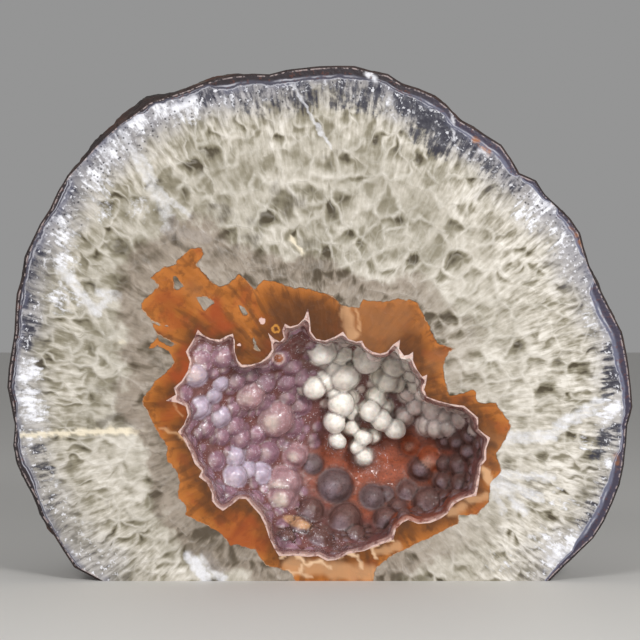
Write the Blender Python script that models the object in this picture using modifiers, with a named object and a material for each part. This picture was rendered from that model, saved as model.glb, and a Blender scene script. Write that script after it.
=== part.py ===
# A flame agate geode: part of a quartz nodule, sawn and polished flat in front and sawn flat
# below, with an open hollow that a lumpy chalcedony crust lines.
# Metres, +Z up. The polished face looks towards -Y and the stone stands on z = 0.

import math

import bmesh
import bpy
from mathutils import Matrix, Vector, noise

# Driving dimensions
FACE_WIDTH = 0.150  # widest part of the polished face
STONE_DEPTH = 0.064  # from the polished face to the back of the dome
HOLLOW_DEPTH = 0.030  # from the polished face to the deepest part of the hollow
SHALLOWEST = 0.0035  # the hollow's depth straight behind its rim
CRUST_THICKNESS = 0.0011  # the crust between its lumps
CRUST_GAP = 0.0003  # clearance between the crust and the stone
EDGE_CHAMFER = 0.0005  # the broken edge round the polished face
FLARE = 0.008  # how far the stone swells behind the face, as a share of its radius
FLARE_END = 0.2  # the share of the dome that the swelling takes
DOME_FLATNESS, DOME_SIDES = 0.85, 1.0  # less than 1 gives a fuller dome
SWELL_SIZE, SWELL_HEIGHT = 0.045, 0.0070  # the dome's broad swells
KNOB_SIZE, KNOB_HEIGHT = 0.014, 0.0032  # its knobs
PIT_SIZE, PIT_DEPTH = 0.009, 0.0030  # its rounded pits
WELL_MARGIN = 0.004  # how far the hollow's cutting shapes reach past what they cut
STALK = 0.8  # the thickness of a lump's stalk, as a share of the lump

# How finely the surfaces are divided
DOME_SIDES_ROUND, DOME_RINGS = 104, 18
SMOOTHED = range(-7, 8)  # the neighbours that even out the dome's radius towards its back
SMOOTH_BY = 0.5  # the share of the dome by which the outline's small notches are gone
WELL_CELLS = 14  # the hollow's wall, across
WELD = 0.00001  # points nearer than this are one
SHARPEST_CORNER = 0.3  # an inset corner moves by no more than the inset over this
CORNER_SIDES, STALK_SIDES, LUMP_DIVISIONS = 12, 16, 3
FUSE_CELL = 0.0007  # the grid that fuses the crust's shapes
KEPT_SHARE = 0.048  # of the faces that this grid gives

# The outlines below are drawn on a sheet of small squares. The face's width sets their size.
SHEET_CENTRE = 320  # squares from the left to the middle of the stone
SHEET_BASE = 581  # squares from the top down to the sawn base
STONE_CENTRE = (320, 350)  # the point that the dome's rings shrink towards

# The stone's edge, clockwise from the left end of its base. The last points go round the
# part that the base saw cut took away.
STONE_OUTLINE = [
    (80, 573), (69, 563), (61, 546), (55, 536), (45, 526), (40, 514), (38, 503), (30, 493),
    (25, 481), (16, 463), (13, 452), (13, 442), (15, 430), (14, 412), (8, 398), (7, 381),
    (10, 361), (13, 344), (15, 328), (15, 316), (17, 294), (22, 280), (25, 257), (33, 239),
    (41, 222), (49, 212), (55, 198), (63, 180), (75, 169), (88, 153), (102, 139), (116, 126),
    (131, 115), (141, 110), (149, 102), (163, 98), (173, 93), (187, 90), (194, 85), (206, 83),
    (220, 77), (237, 75), (253, 74), (265, 76), (280, 71), (296, 69), (316, 67), (333, 66),
    (350, 66), (363, 68), (373, 72), (387, 74), (396, 79), (401, 84), (416, 88), (430, 94),
    (442, 100), (449, 108), (452, 119), (463, 120), (471, 126), (481, 133), (493, 140),
    (504, 147), (510, 157), (516, 169), (521, 176), (528, 177), (536, 181), (542, 188),
    (546, 196), (557, 206), (567, 216), (577, 226), (583, 241), (585, 255), (593, 275),
    (602, 292), (608, 308), (614, 316), (620, 324), (624, 342), (628, 363), (631, 381),
    (631, 399), (633, 410), (631, 419), (626, 428), (626, 446), (624, 463), (622, 479),
    (616, 495), (608, 514), (601, 528), (595, 538), (589, 541), (581, 551), (569, 561),
    (562, 569), (557, 577), (545, 583), (530, 605), (490, 632), (440, 655), (370, 668),
    (300, 670), (220, 662), (150, 640), (120, 605), (108, 583), (92, 577),
]

# The hollow's jagged rim on the polished face, clockwise from the spur on its left.
HOLLOW_RIM = [
    (166, 401), (176, 395), (174, 388), (182, 381), (188, 371), (190, 362), (186, 352),
    (191, 344), (195, 337), (198, 330), (203, 335), (211, 339), (220, 340), (227, 336),
    (233, 334), (235, 342), (235, 352), (238, 361), (242, 365), (251, 365), (261, 362),
    (268, 356), (272, 350), (271, 342), (268, 333), (274, 339), (280, 342), (284, 338),
    (282, 331), (285, 324), (290, 327), (298, 325), (304, 319), (308, 309), (310, 321),
    (311, 332), (316, 339), (325, 341), (335, 337), (343, 332), (348, 339), (356, 342),
    (362, 341), (365, 347), (372, 352), (380, 354), (387, 352), (393, 345), (400, 340),
    (399, 349), (404, 356), (409, 355), (413, 352), (413, 361), (417, 370), (422, 377),
    (427, 375), (426, 383), (424, 390), (427, 397), (438, 401), (449, 404), (464, 406),
    (471, 412), (478, 418), (478, 429), (484, 434), (490, 438), (486, 449), (486, 460),
    (481, 466), (480, 473), (478, 487), (476, 496), (465, 498), (454, 504), (447, 514),
    (440, 519), (430, 523), (418, 524), (408, 520), (402, 523), (396, 529), (393, 540),
    (382, 544), (364, 551), (348, 554), (336, 560), (327, 561), (318, 556), (308, 557),
    (298, 556), (285, 556), (279, 556), (274, 548), (269, 537), (265, 525), (260, 515),
    (252, 506), (246, 499), (239, 499), (232, 505), (223, 511), (217, 507), (212, 501),
    (212, 493), (207, 483), (199, 477), (202, 471), (195, 464), (190, 451), (183, 438),
    (178, 432), (184, 425), (188, 415), (186, 407), (178, 403),
]

# The hollow is a rounded well round this deepest point, with its own reach on each side.
WELL_CENTRE = (392, 468)
WELL_LEFT, WELL_RIGHT, WELL_UP, WELL_DOWN = 0.056, 0.0255, 0.037, 0.0255
WELL_LEFT_CURVE, WELL_SIDE_CURVE = 2.0, 3.0  # a larger number gives a flatter floor and a steeper wall

# The crust's lumps: across, down, radius (all in squares), and how far each stands out of
# the lining between the lumps, in radii. The last group hangs out as chains of white grapes.
LUMPS = [
    (222, 357, 10, 1.0), (195, 375, 11, 0.8), (201, 358, 8, 0.8), (182, 393, 8, 0.7),
    (197, 408, 12, 0.8), (219, 384, 7, 0.9), (235, 382, 9, 1.0), (249, 375, 8, 0.8),
    (249, 397, 15, 1.0), (263, 384, 10, 0.8), (274, 422, 19, 1.0), (285, 384, 9, 0.8),
    (286, 399, 8, 0.8), (278, 359, 10, 0.9), (291, 367, 9, 0.8), (302, 381, 9, 0.9),
    (217, 418, 11, 0.8), (231, 428, 10, 0.9), (211, 396, 8, 0.7), (229, 410, 8, 0.6),
    (300, 408, 10, 0.7), (203, 430, 9, 0.7), (218, 438, 9, 0.7), (238, 441, 10, 1.1),
    (232, 460, 10, 0.9), (249, 457, 9, 0.8), (265, 457, 11, 0.7), (294, 461, 12, 1.1),
    (232, 481, 12, 0.9), (245, 475, 9, 0.8), (258, 479, 11, 0.8), (282, 490, 17, 1.0),
    (281, 503, 15, 1.0), (312, 471, 10, 0.8), (217, 493, 5, 0.9), (226, 500, 9, 0.8),
    (213, 464, 9, 0.7), (291, 430, 11, 0.6), (254, 438, 9, 0.7), (262, 405, 8, 0.5),
    (335, 494, 18, 1.0), (345, 527, 17, 1.2), (375, 506, 13, 1.0), (389, 503, 8, 0.9),
    (389, 527, 13, 1.4), (401, 516, 9, 1.1), (426, 476, 12, 1.2), (436, 465, 13, 0.9),
    (447, 488, 9, 1.1), (450, 470, 8, 0.9), (433, 509, 15, 1.1), (412, 500, 12, 0.6),
    (465, 489, 11, 0.9), (464, 470, 11, 0.8), (416, 451, 11, 0.6), (310, 519, 14, 0.8),
    (300, 534, 11, 0.8), (320, 544, 13, 0.9), (285, 543, 10, 0.8), (356, 541, 10, 0.7),
    (438, 412, 12, 1.4), (449, 419, 9, 1.3), (432, 430, 11, 1.7), (442, 432, 11, 1.6),
    (453, 431, 10, 1.3), (464, 422, 9, 1.0), (450, 446, 8, 1.0), (462, 446, 9, 0.9),
    (474, 438, 9, 0.8), (473, 455, 9, 0.8), (419, 411, 8, 1.6), (408, 422, 9, 1.8),
    (322, 353, 14, 1.3), (342, 356, 10, 1.2), (336, 370, 10, 1.6), (369, 360, 15, 1.6),
    (397, 367, 12, 1.4), (390, 384, 11, 2.1), (399, 386, 9, 1.9), (381, 380, 8, 2.0),
    (346, 379, 15, 2.0), (326, 383, 10, 1.9), (314, 390, 12, 2.0), (304, 390, 8, 1.4),
    (335, 394, 9, 2.4), (342, 407, 13, 2.6), (352, 401, 8, 2.2), (352, 415, 8, 2.6),
    (335, 426, 11, 3.4), (338, 446, 9, 3.9), (379, 400, 10, 2.2), (371, 415, 11, 3.2),
    (384, 425, 11, 3.3), (398, 434, 11, 3.3), (365, 443, 9, 3.4), (359, 452, 8, 3.6),
    (366, 463, 10, 3.1), (376, 442, 7, 2.6), (353, 433, 8, 2.8), (388, 411, 8, 2.2),
    (411, 368, 9, 1.0), (416, 380, 9, 1.1), (420, 392, 8, 1.2), (410, 398, 8, 1.6),
]

UNIT = FACE_WIDTH / (max(x for x, _ in STONE_OUTLINE) - min(x for x, _ in STONE_OUTLINE))
FACE_Y = -STONE_DEPTH / 2


def on_face(across, down):
    """A point of the sheet as x and z on the polished face."""
    return (across - SHEET_CENTRE) * UNIT, (SHEET_BASE - down) * UNIT


def outline_of(points):
    return [Vector((*on_face(*p), 0)) for p in points]


def inset_outline(points, inset):
    """The outline with each of its edges moved inwards by inset."""
    moved = []
    for i, here in enumerate(points):
        before = (here - points[i - 1]).normalized()
        after = (points[(i + 1) % len(points)] - here).normalized()
        turn_in = Vector((before.y + after.y, -before.x - after.x, 0)).normalized()
        edge_in = Vector((after.y, -after.x, 0))
        moved.append(here + turn_in * inset / max(turn_in.dot(edge_in), SHARPEST_CORNER))
    return moved


def new_collection(name):
    made = bpy.data.collections.new(name)
    bpy.context.scene.collection.children.link(made)
    return made


def add_object(name, mesh, collection):
    made = bpy.data.objects.new(name, mesh)
    collection.objects.link(made)
    return made


def mesh_from(bm, name):
    bmesh.ops.recalc_face_normals(bm, faces=bm.faces)
    mesh = bpy.data.meshes.new(name)
    bm.to_mesh(mesh)
    bm.free()
    return mesh


def boolean(target, operation, other):
    cut = target.modifiers.new(other.name, "BOOLEAN")
    cut.operation = operation
    cut.object = other
    return cut


def as_cutter(made):
    made.hide_render = True
    made.display_type = "WIRE"
    return made


def principled(name, colour, roughness):
    material = bpy.data.materials.new(name)
    material.use_nodes = True
    shader = material.node_tree.nodes["Principled BSDF"]
    shader.inputs["Base Color"].default_value = (*colour, 1)
    shader.inputs["Roughness"].default_value = roughness
    shader.inputs["Metallic"].default_value = 0
    return material


def filled_outline(name, points, thickness):
    """An outline of the polished face, filled and made as thick as asked, half on each side."""
    curve = bpy.data.curves.new(name, "CURVE")
    curve.dimensions = "2D"
    curve.fill_mode = "BOTH"
    curve.extrude = thickness / 2
    spline = curve.splines.new("POLY")
    spline.points.add(len(points) - 1)
    for spot, point in zip(spline.points, points):
        spot.co = (point.x, point.y, 0, 1)
    spline.use_cyclic_u = True
    made = bpy.data.objects.new(name, curve)
    bpy.context.scene.collection.objects.link(made)
    bpy.context.view_layer.update()
    graph = bpy.context.evaluated_depsgraph_get()
    mesh = bpy.data.meshes.new_from_object(made.evaluated_get(graph))
    bpy.data.objects.remove(made)
    bpy.data.curves.remove(curve)
    bm = bmesh.new()
    bm.from_mesh(mesh)
    bmesh.ops.remove_doubles(bm, verts=bm.verts, dist=WELD)
    bmesh.ops.rotate(bm, verts=bm.verts, matrix=Matrix.Rotation(math.pi / 2, 3, "X"))
    bpy.data.meshes.remove(mesh)
    return bm


def well_depth(x, z):
    """How far behind the polished face the hollow's wall lies at x and z."""
    centre_x, centre_z = on_face(*WELL_CENTRE)
    across = (x - centre_x) / (WELL_RIGHT if x > centre_x else WELL_LEFT)
    along = (z - centre_z) / (WELL_UP if z > centre_z else WELL_DOWN)
    reach = math.hypot(across, along)
    leftness = max(0, -across) / max(reach, 0.001)
    curve = WELL_SIDE_CURVE + (WELL_LEFT_CURVE - WELL_SIDE_CURVE) * leftness
    return SHALLOWEST + (HOLLOW_DEPTH - SHALLOWEST) * (1 - min(reach, 1) ** curve)


def well_surface(raised, cells_across):
    """An open grid that follows the hollow's wall, raised towards the polished face."""
    rim = outline_of(HOLLOW_RIM)
    left, right = min(p.x for p in rim) - WELL_MARGIN, max(p.x for p in rim) + WELL_MARGIN
    low, high = min(p.y for p in rim) - WELL_MARGIN, max(p.y for p in rim) + WELL_MARGIN
    cell = (right - left) / cells_across
    bm = bmesh.new()
    bmesh.ops.create_grid(
        bm, x_segments=cells_across, y_segments=round((high - low) / cell), size=0.5
    )
    for v in bm.verts:
        x = left + (v.co.x + 0.5) * (right - left)
        z = low + (v.co.y + 0.5) * (high - low)
        v.co = (x, FACE_Y + well_depth(x, z) - raised, z)
    bmesh.ops.triangulate(bm, faces=bm.faces, quad_method="FIXED")
    return bm


def hollow_solid(name, clearance, front, collection):
    """The hollow's own shape, smaller all round by clearance, with its open end at y = front."""
    thickness = front + HOLLOW_DEPTH + WELL_MARGIN
    outline = inset_outline(outline_of(HOLLOW_RIM), clearance)
    bm = filled_outline(name, outline, thickness)
    bmesh.ops.translate(bm, verts=bm.verts, vec=(0, FACE_Y - front + thickness / 2, 0))
    prism = as_cutter(add_object(name, mesh_from(bm, name), collection))

    bm = well_surface(clearance, WELL_CELLS)
    edge = bmesh.ops.extrude_face_region(bm, geom=bm.faces[:])
    for v in (g for g in edge["geom"] if isinstance(g, bmesh.types.BMVert)):
        v.co.y = FACE_Y - front - WELL_MARGIN
    floor = as_cutter(add_object(name + "_floor", mesh_from(bm, name + "_floor"), collection))
    boolean(prism, "INTERSECT", floor)
    return prism


def outline_radius(outline, centre, angle):
    """How far the outline lies from the centre in a direction."""
    ray = Vector((math.cos(angle), math.sin(angle)))
    for i, end in enumerate(outline):
        a, b = outline[i - 1].xy - centre, end.xy - centre
        along = b - a
        cross = ray.cross(along)
        if abs(cross) < 1e-12:
            continue
        distance, share = a.cross(along) / cross, a.cross(ray) / cross
        if distance > 0 and 0 <= share <= 1:
            return distance
    raise ValueError("the outline does not close round its centre")


def dome_profile(share):
    """The dome's radius and depth at a share of the way from the face's edge to its back."""
    turn = share * math.pi / 2
    flare = FLARE * math.sin(min(share / FLARE_END, 1) * math.pi)
    return math.cos(turn) ** DOME_FLATNESS + flare, STONE_DEPTH * math.sin(turn) ** DOME_SIDES


def lumpy(point, share):
    """The dome's swells, knobs and pits at a point, none at the edge of the polished face."""
    swells = noise.noise(point / SWELL_SIZE) * SWELL_HEIGHT
    knobs = noise.noise(point / KNOB_SIZE) * KNOB_HEIGHT
    pits = (noise.voronoi(point / PIT_SIZE)[0][0] - 0.5) * PIT_DEPTH
    return (swells + knobs + pits) * min(1, share / FLARE_END)


def stone_body():
    outline, centre = outline_of(STONE_OUTLINE), Vector(on_face(*STONE_CENTRE))
    radii = [
        outline_radius(outline, centre, side * math.tau / DOME_SIDES_ROUND)
        for side in range(DOME_SIDES_ROUND)
    ]
    smooth = [
        sum(radii[(side + near) % DOME_SIDES_ROUND] for near in SMOOTHED) / len(SMOOTHED)
        for side in range(DOME_SIDES_ROUND)
    ]
    bm = bmesh.new()
    bmesh.ops.create_uvsphere(bm, u_segments=DOME_SIDES_ROUND, v_segments=2 * DOME_RINGS, radius=1)
    front = [v for v in bm.verts if v.co.z > 0.001]
    bmesh.ops.delete(bm, geom=front, context="VERTS")
    for v in bm.verts:
        share = math.asin(min(1, -v.co.z)) / (math.pi / 2)
        angle = math.atan2(v.co.y, v.co.x)
        scale, depth = dome_profile(share)
        side = round(angle / math.tau * DOME_SIDES_ROUND) % DOME_SIDES_ROUND
        smoothing = min(1, share / SMOOTH_BY)
        radius = radii[side] + (smooth[side] - radii[side]) * smoothing
        out = Vector((math.cos(angle), 0, math.sin(angle)))
        place = Vector((centre.x, FACE_Y + depth, centre.y)) + out * radius * scale
        way_out = (place - Vector((centre.x, FACE_Y, centre.y))).normalized()
        v.co = place + way_out * lumpy(place, share)
    deepest = max(v.co.y for v in bm.verts)
    for v in bm.verts:
        v.co.y = FACE_Y + (v.co.y - FACE_Y) * STONE_DEPTH / (deepest - FACE_Y)
    rim = [e for e in bm.edges if e.is_boundary]
    chamfer = bmesh.ops.extrude_edge_only(bm, edges=rim)
    for v in (g for g in chamfer["geom"] if isinstance(g, bmesh.types.BMVert)):
        inward = Vector((centre.x - v.co.x, 0, centre.y - v.co.z)).normalized()
        v.co += inward * EDGE_CHAMFER
    for v in bm.verts:
        if not v.is_boundary and v.co.y < FACE_Y + EDGE_CHAMFER:
            v.co.y = FACE_Y + EDGE_CHAMFER
    bmesh.ops.edgeloop_fill(bm, edges=[e for e in bm.edges if e.is_boundary])
    all_of_it = bm.verts[:] + bm.edges[:] + bm.faces[:]
    bmesh.ops.bisect_plane(bm, geom=all_of_it, plane_co=(0, 0, 0), plane_no=(0, 0, 1), clear_inner=True)
    bmesh.ops.edgeloop_fill(bm, edges=[e for e in bm.edges if e.is_boundary])
    return mesh_from(bm, "stone")


def crust_body():
    """The lining's wall behind the rim, its floor and its lumps, all overlapping."""
    lining = CRUST_THICKNESS + CRUST_GAP
    rim = [Vector((p.x, FACE_Y + HOLLOW_DEPTH / 2, p.y)) for p in outline_of(HOLLOW_RIM)]
    height = HOLLOW_DEPTH + 2 * WELL_MARGIN
    bm = bmesh.new()
    for i, end in enumerate(rim):
        run = end - rim[i - 1]
        turn = Matrix.Rotation(-math.atan2(run.z, run.x), 4, "Y")
        size = Matrix.Diagonal((run.length, height, 2 * lining, 1))
        place = Matrix.Translation(rim[i - 1] + run / 2) @ turn @ size
        bmesh.ops.create_cube(bm, size=1, matrix=place)
        upright = Matrix.Translation(end) @ Matrix.Rotation(math.pi / 2, 4, "X")
        bmesh.ops.create_cone(
            bm, cap_ends=True, segments=CORNER_SIDES, radius1=lining, radius2=lining,
            depth=height, matrix=upright,
        )

    floor = well_surface(lining, 2 * WELL_CELLS)
    back = bmesh.ops.extrude_face_region(floor, geom=floor.faces[:])
    for v in (g for g in back["geom"] if isinstance(g, bmesh.types.BMVert)):
        v.co.y += WELL_MARGIN
    floor_mesh = mesh_from(floor, "floor")
    bm.from_mesh(floor_mesh)
    bpy.data.meshes.remove(floor_mesh)

    for across, down, size, stands in LUMPS:
        (x, z), radius = on_face(across, down), size * UNIT
        root = FACE_Y + well_depth(x, z) - lining
        centre = root - (stands - 1) * radius
        place = Matrix.Translation((x, centre, z))
        bmesh.ops.create_icosphere(bm, subdivisions=LUMP_DIVISIONS, radius=radius, matrix=place)
        if stands > 1:
            stalk = root + WELL_MARGIN / 2 - centre
            middle = Matrix.Translation((x, centre + stalk / 2, z))
            bmesh.ops.create_cone(
                bm, cap_ends=True, segments=STALK_SIDES, radius1=radius * STALK,
                radius2=radius * STALK, depth=stalk,
                matrix=middle @ Matrix.Rotation(math.pi / 2, 4, "X"),
            )
    return mesh_from(bm, "hollow_crust")


def build():
    for old in list(bpy.data.objects):
        bpy.data.objects.remove(old, do_unlink=True)
    parts, cutters = new_collection("flame_agate_geode"), new_collection("cutters")

    stone = add_object("stone", stone_body(), parts)
    stone.data.materials.append(principled("stone", (0.52, 0.50, 0.42), 0.2))
    boolean(stone, "DIFFERENCE", hollow_solid("hollow", 0, WELL_MARGIN, cutters))

    crust = add_object("hollow_crust", crust_body(), parts)
    crust.data.materials.append(principled("hollow_crust", (0.45, 0.30, 0.34), 0.3))
    fuse = crust.modifiers.new("fuse", "REMESH")
    fuse.mode = "VOXEL"
    fuse.voxel_size = FUSE_CELL
    thin = crust.modifiers.new("thin", "DECIMATE")
    thin.ratio = KEPT_SHARE
    boolean(crust, "INTERSECT", hollow_solid("crust_room", CRUST_GAP, 0, cutters))


build()
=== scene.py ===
# Dresses the flame agate geode's solids: polished face, rough rind, sawn base and hollow crust.
import math
import random
from functools import partial

import bmesh
import bpy
import numpy as np
from mathutils import Matrix, Vector, noise
from mathutils.bvhtree import BVHTree


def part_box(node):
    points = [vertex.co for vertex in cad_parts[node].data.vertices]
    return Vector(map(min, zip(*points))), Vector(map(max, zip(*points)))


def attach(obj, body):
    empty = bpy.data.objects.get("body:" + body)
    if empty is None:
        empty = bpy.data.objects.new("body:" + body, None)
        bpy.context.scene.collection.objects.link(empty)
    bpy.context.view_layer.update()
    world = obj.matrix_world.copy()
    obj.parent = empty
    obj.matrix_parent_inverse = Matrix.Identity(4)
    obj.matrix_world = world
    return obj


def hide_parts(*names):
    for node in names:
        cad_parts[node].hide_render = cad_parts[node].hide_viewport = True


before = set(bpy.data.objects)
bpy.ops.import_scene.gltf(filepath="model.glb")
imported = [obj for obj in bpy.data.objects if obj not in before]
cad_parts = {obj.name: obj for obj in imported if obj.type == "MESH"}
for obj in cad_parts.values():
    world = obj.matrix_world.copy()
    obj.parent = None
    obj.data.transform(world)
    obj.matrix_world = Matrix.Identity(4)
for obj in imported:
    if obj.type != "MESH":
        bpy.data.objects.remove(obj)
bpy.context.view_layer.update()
stoneNode = bpy.data.objects["stone"]
stoneLow, stoneHigh = (Vector(corner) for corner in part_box("stone"))
faceY = stoneLow.y  # the polished face's plane
mm = 0.001
print("frame loaded")

# Places on the polished face are counted in small squares, across and down, from the sheet's
# top left corner. The stone's own width sets their size.
sheet = {
    "middle": 320,  # squares across to the middle of the stone
    "base": 581,  # squares down to the sawn base
    "across": 626,  # squares across the stone
}
unit = (stoneHigh.x - stoneLow.x) / sheet["across"]


def onFace(across, down):
    return (across - sheet["middle"]) * unit, (sheet["base"] - down) * unit


def onSheet(x, z):
    return sheet["middle"] + x / unit, sheet["base"] - z / unit


def addPiece(name, bm, nodes):
    mesh = bpy.data.meshes.new(name)
    bm.to_mesh(mesh)
    bm.free()
    piece = bpy.data.objects.new(name, mesh)
    bpy.context.scene.collection.objects.link(piece)
    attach(piece, "root")
    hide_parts(*nodes)
    return piece


def setValues(mesh, name, values, kind="FLOAT", field="value"):
    layer = mesh.attributes.new(name, kind, "POINT")
    layer.data.foreach_set(field, np.ascontiguousarray(values, dtype=np.float32).ravel())


def placesOf(mesh):
    found = np.empty(len(mesh.vertices) * 3, np.float32)
    mesh.vertices.foreach_get("co", found)
    return found.reshape(-1, 3).astype(np.float64)


def toSegments(places, starts, ends):
    # each place's distance to the nearest of the straight segments, in the face's plane
    nearest = np.full(len(places), np.inf)
    for a, b in zip(starts, ends):
        run = b - a
        share = np.clip((places - a) @ run / max(run @ run, 1e-18), 0, 1)
        gap = places - a - share[:, None] * run
        nearest = np.minimum(nearest, np.einsum("ij,ij->i", gap, gap))
    return np.sqrt(nearest)


def isInside(places, starts, ends):
    # whether each place lies within the closed outline that the segments make
    found = np.zeros(len(places), bool)
    for a, b in zip(starts, ends):
        if a[1] != b[1]:
            at = a[0] + (places[:, 1] - a[1]) * (b[0] - a[0]) / (b[1] - a[1])
            found ^= ((a[1] > places[:, 1]) != (b[1] > places[:, 1])) & (places[:, 0] < at)
    return found


def toOutline(places, points):
    # signed distance to a closed outline drawn on the sheet, positive inside it
    starts = np.array([onFace(*point) for point in points])
    ends = np.roll(starts, -1, axis=0)
    return toSegments(places, starts, ends) * np.where(isInside(places, starts, ends), 1, -1)


def smoothStep(values, low, high):
    share = np.clip((values - low) / (high - low), 0, 1)
    return share * share * (3 - 2 * share)


def stoneCopy():
    bm = bmesh.new()
    bm.from_mesh(stoneNode.data)
    bmesh.ops.remove_doubles(bm, verts=bm.verts, dist=1e-6)
    return bm


def onPolish(f):
    return all(v.co.y < faceY + 0.01 * mm for v in f.verts)


def onBase(f):
    return all(v.co.z < 0.01 * mm for v in f.verts)


def keepFaces(bm, wanted):
    bmesh.ops.delete(bm, geom=[f for f in bm.faces if not wanted(f)], context="FACES")


hollow = {
    "middle": (330, 430),
    "reach": 46 * mm,  # its rim lies within this of its middle, and the stone's edge doesn't
    "depth": 31 * mm,
}
hollowX, hollowZ = onFace(*hollow["middle"])
hollowCentre = Vector((hollowX, faceY, hollowZ))
polishLoops = stoneCopy()
keepFaces(polishLoops, onPolish)
polishEdges = [e for e in polishLoops.edges if e.is_boundary]


def nearHollow(place):
    return math.hypot(place.x - hollowX, place.z - hollowZ) < hollow["reach"]


def isRim(edge):
    middle = (edge.verts[0].co + edge.verts[1].co) / 2
    return nearHollow(middle) and middle.z > 2 * mm


def endsOf(edges):
    return [(e.verts[0].co.copy(), e.verts[1].co.copy()) for e in edges]


def flatEnds(segments):
    return [np.array([[s[i].x, s[i].z] for s in segments]) for i in (0, 1)]


rimSegments = endsOf(e for e in polishEdges if isRim(e))
edgeSegments = endsOf(e for e in polishEdges if not isRim(e))
skinSegments = [s for s in edgeSegments if max(s[0].z, s[1].z) > 0.5 * mm]
polishLoops.free()
print("outlines read:", len(rimSegments), "rim and", len(skinSegments), "skin segments")

# The agate band's flame-shaped border on the polished face, clockwise from its left top.
agateBand = {
    "border": [
        (191, 248), (201, 248), (204, 254), (196, 265), (204, 274), (211, 282), (219, 286),
        (228, 284), (234, 279), (239, 274), (247, 281), (255, 290), (259, 284), (264, 280),
        (272, 280), (279, 283), (293, 288), (306, 288), (316, 291), (334, 296), (340, 304),
        (344, 306), (359, 308), (363, 300), (372, 301), (385, 302), (397, 299), (408, 300),
        (417, 302), (423, 314), (430, 328), (438, 344), (455, 348), (448, 353), (443, 365),
        (445, 383), (450, 396), (460, 394), (475, 389), (477, 403), (496, 403), (501, 411),
        (511, 425), (506, 438), (496, 454), (502, 471), (492, 481), (490, 485), (489, 501),
        (477, 515), (459, 515), (458, 524), (447, 528), (432, 537), (420, 542), (408, 548),
        (389, 557), (376, 568), (371, 590), (300, 590), (296, 581), (290, 572), (277, 568),
        (266, 566), (260, 557), (255, 549), (247, 548), (238, 544), (231, 546), (223, 535),
        (216, 530), (207, 526), (198, 521), (186, 515), (186, 505), (177, 497), (180, 482),
        (175, 469), (167, 461), (167, 445), (157, 431), (148, 413), (142, 402), (146, 393),
        (151, 390), (154, 382), (165, 374), (174, 362), (172, 356), (169, 351), (158, 346),
        (148, 349), (158, 336), (153, 325), (150, 319), (142, 309), (142, 302), (151, 294),
        (159, 285), (150, 278), (163, 268), (174, 265), (181, 257),
    ],
    "windows": [  # small gaps in the band that show the grey quartz
        [(173, 276), (177, 277), (184, 287), (175, 290)],
        [(196, 297), (207, 297), (215, 302), (204, 311)],
        [(238, 303), (243, 307), (249, 315), (243, 316)],
        [(252, 336), (256, 342), (259, 351), (254, 348)],
        [(154, 333), (166, 338), (176, 344), (171, 347), (160, 341)],
        [(150, 320), (160, 324), (168, 326), (158, 326)],
    ],
    "chips": [(262, 321, 3.2), (239, 345, 1.6)],  # pale pink chips, each across, down and size
    "rings": [(276, 329, 4)],  # a yellow ring
}

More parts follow.
